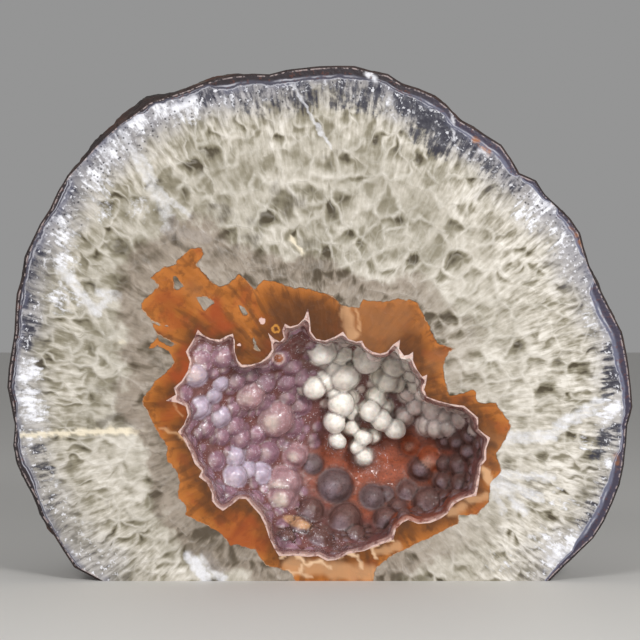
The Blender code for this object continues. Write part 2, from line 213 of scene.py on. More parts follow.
# Marks on the polished face, kept as values of its corners. Spots: across, down, size and strength.
# Lines: from and to (across, down), width and strength. "bent" is how far its edges wander, in mm,
# and how far apart the bends are.
faceMarks = {
    "frosted": {"spots": [
        (28, 372, 14, 1), (26, 400, 14, 1), (34, 412, 16, 0.9), (62, 232, 18, 0.8),
        (66, 262, 14, 0.8), (60, 298, 16, 0.7), (84, 300, 12, 0.6), (135, 118, 16, 1),
        (160, 108, 14, 0.9), (190, 112, 12, 0.8), (110, 150, 16, 0.8), (96, 178, 16, 0.8),
        (100, 206, 16, 0.6), (228, 104, 10, 0.5), (546, 196, 18, 1), (530, 214, 16, 0.8),
        (560, 240, 14, 0.5), (596, 320, 16, 0.5), (612, 408, 11, 1), (604, 418, 9, 0.9),
        (608, 462, 7, 0.8), (592, 560, 12, 0.6), (578, 545, 16, 0.9), (560, 556, 18, 0.7),
        (543, 540, 16, 0.5), (585, 440, 12, 0.4), (564, 500, 16, 0.4), (178, 234, 14, 0.7),
        (140, 208, 16, 0.5), (30, 440, 6, 0.8), (208, 568, 12, 0.7), (500, 560, 16, 0.4),
        (388, 100, 8, 0.7), (52, 484, 10, 0.4),
    ]},
    "blued": {"spots": [
        (408, 98, 18, 1.2), (430, 110, 22, 1.7), (450, 126, 20, 1.6), (440, 145, 16, 1),
        (420, 130, 16, 0.8), (468, 142, 16, 1), (490, 165, 16, 0.7), (512, 182, 14, 0.5),
        (370, 98, 20, 0.9), (345, 94, 20, 0.8), (300, 95, 22, 0.8), (265, 100, 20, 0.7),
        (240, 100, 18, 0.7), (205, 92, 16, 0.7), (578, 232, 10, 0.6), (604, 318, 10, 0.5),
        (612, 350, 12, 0.8), (612, 378, 12, 1.1), (608, 394, 8, 1), (606, 438, 10, 1.1),
        (614, 430, 8, 0.9), (598, 452, 10, 0.8), (604, 488, 10, 0.8), (594, 510, 12, 0.8),
        (584, 524, 10, 0.6), (566, 566, 8, 0.7), (28, 270, 12, 1), (36, 255, 10, 0.8),
        (24, 300, 12, 1), (30, 325, 12, 0.9), (26, 345, 10, 0.8), (44, 340, 10, 0.4),
        (48, 470, 12, 0.7), (40, 450, 10, 0.6), (54, 500, 10, 0.4), (70, 190, 10, 0.5),
        (120, 132, 8, 0.5), (60, 215, 10, 0.5),
    ]},
    "rindThick": {"lines": [  # the strength is the dark rind's depth in mm
        (108, 134, 148, 106, 9, 0.4), (148, 106, 225, 84, 16, 1.3), (225, 84, 300, 72, 20, 2.5),
        (296, 72, 370, 68, 20, 3), (388, 74, 450, 106, 18, 2.5), (456, 116, 512, 162, 18, 2.4),
        (528, 178, 546, 194, 9, 1.6), (562, 216, 584, 250, 10, 1.5), (598, 296, 624, 366, 15, 2.9),
        (622, 360, 632, 404, 15, 2.4), (634, 408, 628, 426, 9, 2.2), (626, 432, 622, 466, 8, 1.2),
        (624, 466, 586, 545, 18, 2.9), (588, 545, 556, 580, 14, 1.6), (66, 192, 22, 295, 14, 1.2),
        (22, 290, 14, 332, 12, 1.4), (9, 350, 10, 408, 12, 1.5), (14, 438, 30, 484, 12, 1.5),
        (30, 480, 48, 532, 10, 0.9), (48, 532, 78, 578, 10, 0.7),
    ]},
    "whitened": {"bent": (0.8, 1.3), "lines": [
        (494, 478, 540, 498, 7, 0.42), (494, 478, 524, 512, 6, 0.42),
        (490, 480, 504, 512, 5, 0.35), (496, 474, 552, 478, 6, 0.35),
        (598, 404, 560, 425, 9, 0.45), (552, 436, 508, 438, 8, 0.42),
        (123, 132, 148, 182, 6, 0.35), (148, 182, 190, 216, 4, 0.35), (176, 108, 194, 100, 6, 0.7),
        (140, 160, 178, 236, 9, 0.35), (168, 230, 206, 238, 8, 0.45),
        (290, 80, 312, 118, 2.5, 0.45), (312, 118, 332, 148, 2.5, 0.45),
        (60, 268, 96, 312, 7, 0.45), (96, 312, 112, 296, 6, 0.4), (98, 292, 120, 296, 6, 0.4),
        (590, 540, 552, 560, 8, 0.5), (205, 578, 190, 556, 8, 0.6), (222, 578, 205, 556, 8, 0.5),
    ]},
    "creamed": {"bent": (0.8, 1.3), "lines": [
        (18, 436, 90, 432, 3, 0.9), (90, 432, 160, 430, 3.5, 1), (146, 349, 120, 342, 1.5, 0.5),
        (236, 492, 236, 493, 1, 0.2), (290, 238, 302, 252, 2.5, 0.9),
    ]},
    "darkened": {"bent": (0.8, 1.3), "lines": [
        (100, 424, 132, 408, 5, 0.6), (156, 428, 118, 416, 6, 0.8), (158, 336, 172, 344, 3, 0.9),
        (184, 256, 206, 262, 3, 0.5),
    ]},
    "browned": {"bent": (3.5, 3.3), "spots": [
        (222, 212, 7, 0.9), (290, 202, 10, 0.9), (255, 235, 9, 0.9), (280, 185, 6, 0.6),
        (330, 150, 6, 0.5), (305, 245, 6, 0.6), (210, 228, 5, 0.6), (106, 388, 8, 0.5),
        (140, 392, 6, 0.7), (125, 420, 9, 0.6), (148, 424, 7, 0.8), (160, 490, 6, 0.8),
        (468, 332, 8, 0.7), (440, 330, 6, 0.7), (530, 486, 9, 0.5), (508, 463, 5, 0.9),
    ]},
    "agatePale": {"bent": (1, 2), "lines": [
        (346, 310, 352, 336, 7, 0.75), (338, 300, 344, 330, 1.5, 0.8),
        (358, 310, 360, 332, 1.5, 0.7), (183, 432, 208, 470, 5, 0.9), (200, 450, 212, 476, 6, 0.8),
        (246, 492, 268, 516, 3.5, 0.8), (285, 528, 312, 530, 7, 0.6), (484, 470, 490, 482, 5, 0.9),
        (470, 500, 484, 496, 5, 0.6), (290, 566, 372, 574, 10, 0.6), (378, 552, 398, 546, 5, 0.6),
        (450, 512, 462, 508, 6, 0.6), (172, 402, 182, 416, 1.5, 0.4),
        (160, 430, 178, 432, 1.5, 0.6),
    ]},
    "agateCurls": {"bent": (0.5, 1.2), "lines": [
        (280, 557, 292, 553, 2, 0.9), (292, 553, 304, 561, 2, 0.9), (304, 561, 300, 572, 1.8, 0.8),
        (306, 565, 320, 561, 2, 0.9), (320, 561, 330, 568, 1.8, 0.8), (338, 558, 346, 552, 2, 0.9),
        (346, 552, 358, 556, 2, 0.9), (358, 556, 362, 568, 1.8, 0.7),
        (372, 548, 380, 542, 2.2, 0.9), (380, 542, 393, 540, 2, 0.8),
        (376, 558, 372, 548, 1.8, 0.8), (289, 572, 312, 577, 2, 0.6),
    ]},
    "agateBrown": {"bent": (2, 3.3), "spots": [
        (322, 322, 26, 0.85), (287, 313, 22, 0.8), (412, 345, 16, 0.6), (255, 350, 12, 0.6),
        (175, 395, 9, 0.5),
    ], "lines": [
        (341, 296, 342, 330, 2.5, 0.8), (420, 345, 422, 368, 3, 0.5),
        (235, 340, 238, 362, 2.5, 0.6), (188, 400, 190, 428, 4, 0.6), (255, 335, 258, 350, 2, 0.6),
        (476, 430, 490, 452, 4, 0.5),
    ]},
    "agateRed": {"bent": (3.5, 3.3), "spots": [
        (215, 318, 14, 0.9), (178, 372, 12, 0.9), (190, 355, 10, 0.7), (240, 540, 20, 0.7),
        (165, 300, 14, 0.5), (172, 412, 12, 0.5), (260, 350, 8, 0.5), (480, 520, 10, 0.5),
    ]},
    "agateTan": {"bent": (3, 3.3), "spots": [
        (375, 322, 26, 0.8), (400, 318, 18, 0.7), (440, 362, 12, 0.5), (195, 290, 12, 0.4),
        (490, 440, 10, 0.5),
    ]},
    "rindOrange": {"bent": (0.5, 1.2), "lines": [
        (475, 139, 489, 153, 3.5, 0.9), (571, 227, 583, 246, 2.5, 0.6),
        (616, 456, 618, 466, 3, 0.5),
    ]},
    "rindWhite": {"bent": (0.5, 1.2), "lines": [
        (480, 151, 487, 156, 2.5, 0.8), (367, 74, 375, 79, 3.5, 0.9),
        (452, 112, 454, 140, 1.5, 0.8), (614, 412, 618, 404, 3, 0.8),
    ]},
}

face = {
    "grid": 1.5 * mm,
    "cuts": 2,  # each grid cell is cut this often
    "seed": 3,  # of the marks' ragged edges
    "flatTo": 1,  # degrees between faces that are one flat
    "spot": (1.6, 0.3),  # where a spot starts and is full, in its sizes
    "line": (1.2, 0.4),  # the same for a line, in its widths
}


def sliced(bm, step):
    # cuts the flat face by upright and level planes, so that its attributes have places to sit
    for axis, low, high in ((0, stoneLow.x, stoneHigh.x), (2, 0, stoneHigh.z)):
        across = Vector((1, 0, 0)) if axis == 0 else Vector((0, 0, 1))
        for i in range(1, math.ceil((high - low) / step)):
            everything = bm.verts[:] + bm.edges[:] + bm.faces[:]
            at = across * (low + i * step)
            bmesh.ops.bisect_plane(bm, geom=everything, dist=1e-7, plane_co=at, plane_no=across)


def markValues(flat, spots, lines):
    strongest = np.zeros(len(flat))

    def mark(away, size, strength, limits):
        outer, inner = (limit * size * unit for limit in limits)
        return np.maximum(strongest, smoothStep(away, outer, inner) * strength)

    for across, down, size, strength in spots:
        away = np.linalg.norm(flat - onFace(across, down), axis=1)
        strongest = mark(away, size, strength, face["spot"])
    for fromAcross, fromDown, toAcross, toDown, width, strength in lines:
        ends = (np.array([onFace(*end)]) for end in ((fromAcross, fromDown), (toAcross, toDown)))
        strongest = mark(toSegments(flat, *ends), width, strength, face["line"])
    return strongest


def makePolishedFace():
    bm = stoneCopy()
    keepFaces(bm, onPolish)
    limit = math.radians(face["flatTo"])
    bmesh.ops.dissolve_limit(bm, angle_limit=limit, verts=bm.verts[:], edges=bm.edges[:])
    sliced(bm, face["grid"])
    bmesh.ops.triangulate(bm, faces=[f for f in bm.faces if len(f.verts) != 4])
    bmesh.ops.subdivide_edges(bm, edges=bm.edges[:], cuts=face["cuts"], use_grid_fill=True)
    piece = addPiece("polishedFace", bm, ["stone"])
    mesh = piece.data
    flat = placesOf(mesh)[:, [0, 2]]
    band = toOutline(flat, agateBand["border"])
    for window in agateBand["windows"]:
        band = np.minimum(band, -toOutline(flat, window))
    setValues(mesh, "rindDepth", toSegments(flat, *flatEnds(skinSegments)) / mm)
    setValues(mesh, "agateDepth", band / mm)
    setValues(mesh, "rimDistance", toSegments(flat, *flatEnds(rimSegments)) / mm)
    noise.seed_set(face["seed"])
    for name, marks in faceMarks.items():
        bent = flat
        if "bent" in marks:
            amount, apart = marks["bent"]
            bends = [noise.noise_vector(Vector((x, faceY, z)) / (apart * mm)) for x, z in flat]
            bent = flat + np.array(bends)[:, [0, 2]] * amount * mm
        setValues(mesh, name, markValues(bent, marks.get("spots", []), marks.get("lines", [])))
    mesh.calc_loop_triangles()
    print("polished face:", len(mesh.polygons), "faces,", len(mesh.loop_triangles), "triangles")
    return piece


rind = {
    "cuts": 4,
    "smoothing": 6,
    "knobs": (7 * mm, 1 * mm),  # how far apart and how high
    "pits": (3.2 * mm, 0.8 * mm),
    "pitLevel": 0.4,
    "grit": (1.3 * mm, 0.25 * mm),
    "fade": 4 * mm,  # how far from the sawn faces the full roughness is reached
}


def roughness(place):
    def octave(size, height):
        return noise.noise(place / size) * height

    pits = (noise.voronoi(place / rind["pits"][0])[0][0] - rind["pitLevel"]) * rind["pits"][1]
    return octave(*rind["knobs"]) + pits + octave(*rind["grit"])


def soften(bm, verts, rounds):
    for _ in range(rounds):
        bmesh.ops.smooth_vert(
            bm, verts=verts, factor=0.5, use_axis_x=True, use_axis_y=True, use_axis_z=True
        )
    bm.normal_update()


def makeRind():
    bm = stoneCopy()

    def isSkin(f):
        middle = f.calc_center_median()
        inside = nearHollow(middle) and middle.y < faceY + hollow["depth"]
        inHollow = inside and f.normal.y < 0.5 and middle.z > 4 * mm
        return not onPolish(f) and not onBase(f) and not inHollow

    keepFaces(bm, isSkin)
    bmesh.ops.subdivide_edges(bm, edges=bm.edges, cuts=rind["cuts"], use_grid_fill=True)
    free = [v for v in bm.verts if not v.is_boundary and v.co.y > faceY + 1 * mm]
    soften(bm, free, rind["smoothing"])
    for v in bm.verts:
        if not v.is_boundary:
            full = min(1, (v.co.y - faceY) / rind["fade"]) * min(1, v.co.z / rind["fade"])
            v.co += v.normal * roughness(v.co) * full
    for f in bm.faces:
        f.smooth = True
    piece = addPiece("roughRind", bm, ["stone"])
    print("rind:", len(piece.data.polygons), "faces")
    return piece


def makeSawnBase():
    bm = stoneCopy()
    keepFaces(bm, onBase)
    piece = addPiece("sawnBase", bm, ["stone"])
    print("sawn base:", len(piece.data.polygons), "faces")
    return piece


# The crust's lumps: across, down, radius (in squares) and how far each stands out of the lining
# between the lumps, in radii.
crust = {
    "lining": 1 * mm,
    "lip": 0.36 * mm,  # the lining's thickness at its sawn edge
    "lipDepth": 1.1 * mm,  # how far behind the face the full thickness starts
    "uneven": ((4 * mm, 0.35 * mm), (1.5 * mm, 0.16 * mm)),  # its swells: how far apart, how high
    "voxel": 0.51 * mm,
    "smoothing": 4,
    "recess": 0.05 * mm,  # how far its sawn edge lies behind the polished face
    "stalk": 0.8,  # a stalk's radius in its lump's radii
    "overlap": 1 * mm,  # how far the pieces reach into each other before they are fused
    "grid": (76, 60),  # the back wall's faces across and up
    "backTilt": 4,  # degrees between faces of its hidden back that are made one
    "bareFloor": (385, 478, 78, 50),  # ovals: across, down, half width, half height
    "matt": (410, 480, 110, 70),
    "hole": (278, 359, 1, 1),  # a small gap in the crust that shows the agate
    "scar": (297, 528, 15, 5),  # a pale flat spot
    "scarTilt": 0.3,
    "mauveTo": 320,  # smaller lumps are mauve to the left of this, and
    "greyTo": 440,  # grey above this
    "kinds": {
        "mauve": [
            (222, 357, 10, 1), (201, 358, 8, 0.8), (182, 393, 8, 0.7), (235, 382, 9, 1),
            (249, 375, 8, 0.8), (263, 384, 10, 0.8), (285, 384, 9, 0.8), (286, 399, 8, 0.8),
            (278, 359, 10, 0.9), (291, 367, 9, 0.8), (302, 381, 9, 0.9), (231, 428, 10, 0.9),
            (229, 410, 8, 0.6), (300, 408, 10, 0.7), (203, 430, 9, 0.7), (218, 438, 9, 0.7),
            (238, 441, 10, 1.1), (249, 457, 9, 0.8), (265, 457, 11, 0.7), (291, 430, 11, 0.6),
            (254, 438, 9, 0.7), (262, 405, 8, 0.5), (213, 464, 9, 0.7), (226, 500, 9, 0.8),
        ],
        "pale": [
            (195, 375, 11, 0.8), (197, 408, 12, 0.8), (211, 396, 8, 0.7), (217, 418, 11, 0.8),
            (232, 460, 10, 0.9), (232, 481, 12, 0.9), (245, 475, 9, 0.8), (258, 479, 11, 0.8),
            (219, 384, 7, 0.9), (217, 493, 5, 0.9),
        ],
        "capped": [  # mauve with a cream cap
            (249, 397, 15, 1), (274, 422, 19, 1), (294, 461, 12, 1.1), (282, 490, 17, 1),
            (281, 503, 15, 1),
        ],
        "white": [
            (322, 353, 14, 1.3), (369, 360, 15, 1.6), (346, 379, 15, 2), (326, 383, 10, 1.9),
            (314, 390, 12, 2), (304, 390, 8, 1.4), (335, 394, 9, 2.4), (342, 407, 13, 2.6),
            (352, 401, 8, 2.2), (352, 415, 8, 2.6), (335, 426, 11, 3.4), (338, 446, 9, 3.9),
            (371, 415, 11, 3.2), (384, 425, 11, 3.3), (398, 434, 11, 3.3), (365, 443, 9, 3.4),
            (359, 452, 8, 3.6), (366, 463, 10, 3.1), (376, 442, 7, 2.6), (353, 433, 8, 2.8),
            (336, 370, 10, 1.6), (404, 354, 8, 1.5), (411, 364, 8, 1.5), (415, 376, 8, 1.5),
            (419, 388, 8, 1.5), (426, 397, 7, 1.5), (434, 402, 5, 1.5),
        ],
        "greenish": [
            (342, 356, 10, 1.2), (390, 384, 11, 2.1), (399, 386, 9, 1.9), (381, 380, 8, 2),
            (379, 400, 10, 2.2), (388, 411, 8, 2.2), (397, 367, 12, 1.4),
        ],
        "grey": [
            (438, 412, 12, 1.4), (449, 419, 9, 1.3), (432, 430, 11, 1.7), (442, 432, 11, 1.6),
            (453, 431, 10, 1.3), (464, 422, 9, 1), (419, 411, 8, 1.6), (408, 422, 9, 1.8),
            (410, 398, 8, 1.6),
        ],
        "dusky": [
            (450, 446, 8, 1), (462, 446, 9, 0.9), (474, 438, 9, 0.8), (473, 455, 9, 0.8),
            (401, 516, 9, 1.1), (426, 476, 12, 1.2), (447, 488, 9, 1.1), (450, 470, 8, 0.9),
            (433, 509, 15, 1.1), (412, 500, 12, 0.6), (465, 489, 11, 0.9), (464, 470, 11, 0.8),
            (356, 541, 10, 0.7), (345, 527, 17, 1.2), (389, 527, 13, 1.4), (310, 519, 14, 0.8),
            (300, 534, 11, 0.8), (320, 544, 13, 0.9), (285, 543, 10, 0.8),
        ],
        "slate": [(335, 494, 18, 1), (375, 506, 13, 1), (389, 503, 8, 0.9), (312, 471, 10, 0.8)],
        "floor": [(436, 465, 13, 0.9), (416, 451, 11, 0.6)],
    },
    "small": {
        "seed": 7, "count": 420, "sizes": (2.5, 5.5), "stands": (0.3, 0.8),
        "across": (165, 490), "down": (310, 560), "bare": (315, 470, 435, 530),
    },
    "walls": {"count": 150, "sizes": (3, 7.5), "from": 4 * mm},  # lumps on the side walls
}
stoneTree = BVHTree.FromPolygons(
    [v.co for v in stoneNode.data.vertices], [p.vertices for p in stoneNode.data.polygons]
)


def wallY(x, z):
    # where the hollow's stone wall lies behind a place on the polished face
    return stoneTree.ray_cast(Vector((x, faceY - 1 * mm, z)), Vector((0, 1, 0)))[0].y


def wallBehind(place):
    inner = place.lerp(hollowCentre, 0.03)  # a little within the rim
    return wallY(inner.x, inner.z)


def kindAt(across, down):
    return "mauve" if across < crust["mauveTo"] else "grey" if down < crust["greyTo"] else "dusky"


def crustLumps():
    lumps = []  # kind, centre, radius, where its stalk ends
    for kind, rows in crust["kinds"].items():
        for across, down, size, stands in rows:
            (x, z), radius = onFace(across, down), size * unit
            root = wallY(x, z) - crust["lining"]
            centre = Vector((x, root - (stands - 1) * radius, z))
            lumps.append((kind, centre, radius, root + crust["overlap"] if stands > 1 else None))
    small, walls = crust["small"], crust["walls"]
    draw = random.Random(small["seed"])
    spots = np.array([
        onFace(draw.uniform(*small["across"]), draw.uniform(*small["down"]))
        for _ in range(small["count"])
    ])
    rimEnds = flatEnds(rimSegments)
    left, right, top, bottom = small["bare"]
    for (x, z), within, near in zip(spots, isInside(spots, *rimEnds), toSegments(spots, *rimEnds)):
        radius, stands = draw.uniform(*small["sizes"]) * unit, draw.uniform(*small["stands"])
        across, down = onSheet(x, z)
        onFloor = left < across < right and top < down < bottom
        if within and near >= radius * 0.5 and not onFloor:
            root = wallY(x, z) - crust["lining"]
            centre = Vector((x, root + (1 - stands) * radius, z))
            lumps.append((kindAt(across, down), centre, radius, None))
    lengths = [(b - a).length for a, b in rimSegments]
    for a, b in draw.choices(rimSegments, lengths, k=walls["count"]):
        place, run = a.lerp(b, draw.random()), b - a
        inward = Vector((-run.z, 0, run.x)).normalized()
        tried = place + inward * 0.3 * mm
        if not isInside(np.array([[tried.x, tried.z]]), *rimEnds)[0]:
            inward.negate()
        radius = draw.uniform(*walls["sizes"]) * unit
        nearest = faceY + walls["from"]
        place.y = draw.uniform(nearest, max(wallBehind(place), nearest + 1 * mm))
        centre = place + inward * (crust["lining"] - 0.1 * radius)
        lumps.append((kindAt(*onSheet(place.x, place.z)), centre, radius, None))
    return lumps


def template(make):
    bm = bmesh.new()
    make(bm)
    mesh = bpy.data.meshes.new("template")
    bm.to_mesh(mesh)
    bm.free()
    return mesh


def templates():
    upright = Matrix.Rotation(math.pi / 2, 4, "X")
    cone = {"cap_ends": True, "segments": 16, "radius1": 1, "radius2": 1, "depth": 1}
    ball = template(lambda bm: bmesh.ops.create_icosphere(bm, subdivisions=3, radius=1))
    rod = template(lambda bm: bmesh.ops.create_cone(bm, matrix=upright, **cone))
    box = template(lambda bm: bmesh.ops.create_cube(bm, size=1))
    return ball, rod, box


def stamp(bm, mesh, place):
    mesh.transform(place)
    bm.from_mesh(mesh)
    mesh.transform(place.inverted())


def thinBack(bm):
    # the crust's flat back, which the stone hides, needs few faces
    edges = [e for e in bm.edges if all(f.normal.y > 0.3 for f in e.link_faces)]
    limit = math.radians(crust["backTilt"])
    bmesh.ops.dissolve_limit(bm, angle_limit=limit, verts=[], edges=edges)


def addLip(bm, rod, box):
    # the lining along the side walls, thin at its sawn edge
    overlap = crust["overlap"]
    for a, b in rimSegments:
        run = b - a
        height = wallBehind(a) + 2 * overlap - (faceY - overlap)
        turn = Matrix.Rotation(-math.atan2(run.z, run.x), 4, "Y")
        up = Vector((0, height / 2 - overlap, 0))
        deeper = Vector((0, crust["lipDepth"] + overlap, 0))
        for thick, shift in ((crust["lip"], Vector()), (crust["lining"], deeper)):
            size = Matrix.Diagonal((run.length, height, 2 * thick, 1))
            stamp(bm, box, Matrix.Translation(a.lerp(b, 0.5) + up + shift) @ turn @ size)
            size = Matrix.Diagonal((thick, height, thick, 1))
            for end in (a, b):
                stamp(bm, rod, Matrix.Translation(end + up + shift) @ size)


def addBackWall(bm):
    # the lining on the hollow's back wall, a slab that follows the stone
    low, high = (Vector(corner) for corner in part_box("hollow_crust"))
    wall = bmesh.new()
    columns, rows = crust["grid"]
    bmesh.ops.create_grid(wall, x_segments=columns, y_segments=rows, size=0.5)
    for v in wall.verts:
        x = low.x + (v.co.x + 0.5) * (high.x - low.x)
        z = low.z + (v.co.y + 0.5) * (high.z - low.z)
        v.co = (x, wallY(x, z), z)
    keepFaces(wall, lambda f: any(v.co.y >= faceY + 1 * mm for v in f.verts))
    for v in wall.verts:
        v.co.y = max(v.co.y, faceY + 3 * mm) - crust["lining"]
    back = bmesh.ops.extrude_face_region(wall, geom=wall.faces[:])
    for v in (g for g in back["geom"] if isinstance(g, bmesh.types.BMVert)):
        v.co.y += crust["lining"] + 0.5 * mm
    bmesh.ops.recalc_face_normals(wall, faces=wall.faces)
    slab = bpy.data.meshes.new("slab")
    wall.to_mesh(slab)
    wall.free()
    bm.from_mesh(slab)
    bpy.data.meshes.remove(slab)


def addLumps(bm, lumps, ball, rod):
    draw = random.Random(crust["small"]["seed"])
    for kind, centre, radius, stalkEnd in lumps:
        squash = Matrix.Diagonal([radius * draw.uniform(0.88, 1.1) for _ in range(3)] + [1])
        turn = Matrix.Rotation(draw.uniform(0, math.tau), 4, "Y")
        stamp(bm, ball, Matrix.Translation(centre) @ turn @ squash)
        if stalkEnd:
            length = stalkEnd - centre.y
            thick = radius * crust["stalk"]
            size = Matrix.Diagonal((thick, length, thick, 1))
            stamp(bm, rod, Matrix.Translation((centre.x, centre.y + length / 2, centre.z)) @ size)


def makeCrust():
    lumps = crustLumps()
    ball, rod, box = templates()
    bm = bmesh.new()
    addLip(bm, rod, box)
    addBackWall(bm)
    addLumps(bm, lumps, ball, rod)
    bmesh.ops.recalc_face_normals(bm, faces=bm.faces)
    piece = addPiece("hollowCrust", bm, ["hollow_crust"])
    fuse = piece.modifiers.new("fuse", "REMESH")
    fuse.mode = "VOXEL"
    fuse.voxel_size = crust["voxel"]
    graph = bpy.context.evaluated_depsgraph_get()
    fused = bpy.data.meshes.new_from_object(piece.evaluated_get(graph))
    piece.modifiers.clear()
    bm = bmesh.new()
    bm.from_mesh(fused)
    soften(bm, [v for v in bm.verts if v.co.y > faceY + crust["lipDepth"]], crust["smoothing"])
    for v in bm.verts:
        swells = (noise.noise(v.co / size) * height for size, height in crust["uneven"])
        v.co += v.normal * sum(swells)
    bmesh.ops.bisect_plane(
        bm, geom=bm.verts[:] + bm.edges[:] + bm.faces[:], dist=1e-7, clear_outer=True,
        plane_co=(0, faceY + crust["recess"], 0), plane_no=(0, -1, 0),
    )
    thinBack(bm)
    sawn = [e for e in bm.edges if e.is_boundary]
    bmesh.ops.triangle_fill(bm, edges=sawn, normal=(0, -1, 0), use_beauty=True)
    for f in bm.faces:
        f.smooth = f.normal.y > -0.9999
    bm.to_mesh(fused)
    bm.free()
    unfused, piece.data = piece.data, fused
    bpy.data.meshes.remove(unfused)
    fused.name = "hollowCrust"
    fused.calc_loop_triangles()
    print("crust:", len(fused.polygons), "faces,", len(fused.loop_triangles), "triangles")
    return piece, lumps


def screen(red, green, blue):
    # a colour as it looks on a screen, made linear for the shaders
    def linear(part):
        part /= 255
        return part / 12.92 if part <= 0.04045 else ((part + 0.055) / 1.055) ** 2.4

    return linear(red), linear(green), linear(blue), 1


def screens(colours):
    return {name: screen(*colour) for name, colour in colours.items()}


tree = None  # the node tree that is being built


def wire(socket, value):
    if isinstance(value, bpy.types.NodeSocket):
        tree.links.new(value, socket)
    else:
        socket.default_value = value


def put(kind, sockets, **settings):
    made = tree.nodes.new("ShaderNode" + kind)
    for name, value in settings.items():
        setattr(made, name, value)
    for name, value in sockets.items():
        wire(made.inputs[name], value)
    return made


def calc(operation, *values):
    made = put("Math", {}, operation=operation)
    for socket, value in zip(made.inputs, values):
        wire(socket, value)
    return made.outputs[0]


def blend(share, first, second, how="MIX"):
    made = put("Mix", {}, data_type="RGBA", blend_type=how)
    for place, value in ((0, share), (6, first), (7, second)):
        wire(made.inputs[place], value)
    return made.outputs[2]


def between(share, first, second):
    made = put("Mix", {}, data_type="FLOAT")
    for place, value in ((0, share), (2, first), (3, second)):
        wire(made.inputs[place], value)
    return made.outputs[0]


minus, plus, over = (partial(calc, name) for name in ("SUBTRACT", "ADD", "DIVIDE"))
larger, scaled = partial(calc, "MAXIMUM"), partial(calc, "MULTIPLY_ADD")


def swing(value, amount, about):
    # a cloudy value round 0.5, made to swing about another
    return scaled(minus(value, 0.5), amount, about)


def vector(operation, first, second, output=0):
    return put("VectorMath", {0: first, 1: second}, operation=operation).outputs[output]


def stretched(place, amount):
    return put("VectorMath", {0: place, "Scale": amount}, operation="SCALE").outputs[0]


def flatPlace(x, y):
    return put("CombineXYZ", {"X": x, "Y": y}).outputs[0]


def partsOf(colour):
    return put("SeparateColor", {0: colour}).outputs


def rise(value, low, high):
    # 0 below low, 1 above high, smooth between them
    sockets = {"Value": value, "From Min": low, "From Max": high}
    return put("MapRange", sockets, interpolation_type="SMOOTHSTEP").outputs[0]


def fall(value, low, high):
    return minus(1, rise(value, low, high))


def times(*values):
    result = values[0]
    for value in values[1:]:
        result = calc("MULTIPLY", result, value)
    return result


def inMillimetres():
    return stretched(put("TexCoord", {}).outputs["Object"], 1 / mm)


def attribute(name, output="Fac"):
    return put("Attribute", {}, attribute_name=name).outputs[output]


def group(name, inputs, outputs):
    global tree
    tree = bpy.data.node_groups.new(name, "ShaderNodeTree")
    for label, kind in inputs:
        tree.interface.new_socket(name=label, in_out="INPUT", socket_type="NodeSocket" + kind)
    for label, kind in outputs:
        tree.interface.new_socket(name=label, in_out="OUTPUT", socket_type="NodeSocket" + kind)
    return tree.nodes.new("NodeGroupInput").outputs, tree.nodes.new("NodeGroupOutput").inputs


def useGroup(made, sockets):
    return put("Group", sockets, node_tree=made).outputs


def makeMottle():
    # cloudy values round 0.5, at one patch per Size
    given, out = group("mottle", [("Vector", "Vector"), ("Size", "Float")], [("Value", "Float")])
    scale = over(1, given["Size"])
    sockets = {"Vector": given["Vector"], "Scale": scale, "Detail": 3, "Roughness": 0.55}
    wire(out["Value"], put("TexNoise", sockets).outputs["Fac"])
    return tree


def makeCrystals():
    # crystals grown side by side: a bowl between sharp ridges, tilted its own way in each
    inputs = [("Vector", "Vector"), ("Width", "Float"), ("Length", "Float"), ("Up", "Vector")]
    outputs = [("Height", "Float"), ("Ridge", "Float"), ("Own", "Float"), ("TopShade", "Float")]
    given, out = group("crystals", inputs, outputs)
    sizes = {"X": given["Width"], "Y": given["Length"], "Z": 1}
    place = vector("DIVIDE", given["Vector"], put("CombineXYZ", sizes).outputs[0])
    sockets = {"Vector": place, "Scale": 1, "Randomness": 1}
    cells, edges = (
        put("TexVoronoi", sockets, voronoi_dimensions="2D", feature=feature).outputs
        for feature in ("F1", "DISTANCE_TO_EDGE")
    )
    bowl = calc("POWER", cells["Distance"], 1.5)
    offset = vector("SUBTRACT", place, cells["Position"])
    lean = vector("SUBTRACT", cells["Color"], (0.5, 0.5, 0.5))
    tilt = vector("DOT_PRODUCT", offset, lean, "Value")
    wire(out["Height"], plus(bowl, times(tilt, 1.1)))
    wire(out["Ridge"], fall(edges["Distance"], 0, 0.16))
    wire(out["Own"], partsOf(cells["Color"])[0])
    # TopShade is painted shade: each crystal darker at its upper side, under its ridge, as if lit
    # from above; its olive is partly the crystal's own tone
    high = vector("DOT_PRODUCT", offset, given["Up"], "Value")
    wire(out["TopShade"], times(rise(high, -0.3, 0.55), rise(edges["Distance"], 0, 0.3)))
    return tree


mottle = makeMottle()
crystals = makeCrystals()


def cloudy(place, size):
    # cloudy values round 0.5, with patches of this size in mm
    return useGroup(mottle, {"Vector": place, "Size": size})["Value"]


def newMaterial(name, roughness, coat, coatRoughness=0.06):
    global tree
    made = bpy.data.materials.new(name)
    made.use_nodes = True
    tree = made.node_tree
    shader = tree.nodes["Principled BSDF"]
    shader.inputs["Roughness"].default_value = roughness
    shader.inputs["Coat Weight"].default_value = coat
    shader.inputs["Coat Roughness"].default_value = coatRoughness
    return made, shader


def addBump(shader, height, strength):
    # height is in millimetres
    sockets = {"Height": height, "Distance": mm, "Strength": strength}
    wire(shader.inputs["Normal"], put("Bump", sockets).outputs[0])


def patch(place, across, down, size, soft=0.5):
    # a soft round patch on the polished face, its size in squares
    x, z = onFace(across, down)
    reach = vector("DISTANCE", place, (x / mm, faceY / mm, z / mm), "Value")
    radius = size * unit / mm
    return fall(reach, radius * (1 - soft), radius * (1 + soft))


